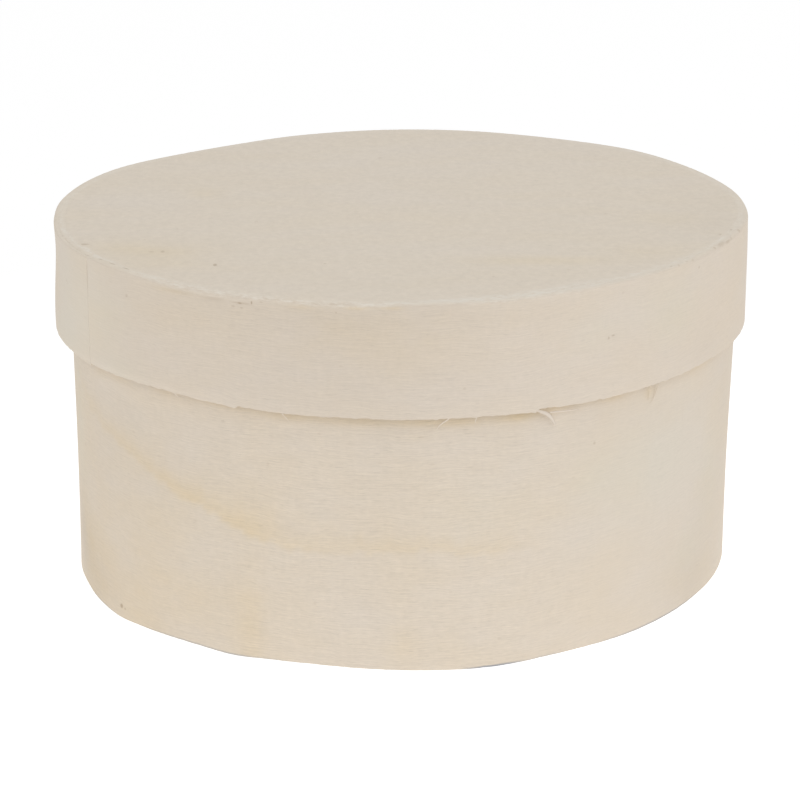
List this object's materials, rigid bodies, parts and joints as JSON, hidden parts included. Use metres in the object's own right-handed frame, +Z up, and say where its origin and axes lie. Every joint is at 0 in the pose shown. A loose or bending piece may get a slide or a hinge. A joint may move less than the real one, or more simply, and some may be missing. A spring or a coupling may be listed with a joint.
{
  "type": "round wooden box",
  "caption": "Round bentwood veneer box with flat discs glued into lapped bent bands and a plain lift-off lid.",
  "frame": {"origin": "centre of the underside, on the surface that the box stands on", "axes": "+Z up through the lid; -Y faces the viewer of the picture, with the lid band's lap on the left"},
  "size_m": [0.0966, 0.0949, 0.0505],
  "materials": {
    "side_veneer": "bare pale peeled veneer, matt, lightly sanded",
    "disc_wood": "bare pale plywood face, matt, sanded",
    "dry_glue": "dried wood glue, slightly yellow and translucent"
  },
  "bodies": {
    "box": {"body_band": "side_veneer", "body_lap_glue": "dry_glue", "base_disc": "disc_wood", "base_rim_glue": "dry_glue", "base_glue_bead": "dry_glue"},
    "lid": {"lid_band": "side_veneer", "lid_lap_glue": "dry_glue", "lid_disc": "disc_wood", "lid_rim_glue": "dry_glue"}
  },
  "joints": [
    {"name": "lid_lift", "type": "slide", "parent": "box", "child": "lid", "axis": [0, 0, 1], "range_m": [0, 0.05]}
  ]
}
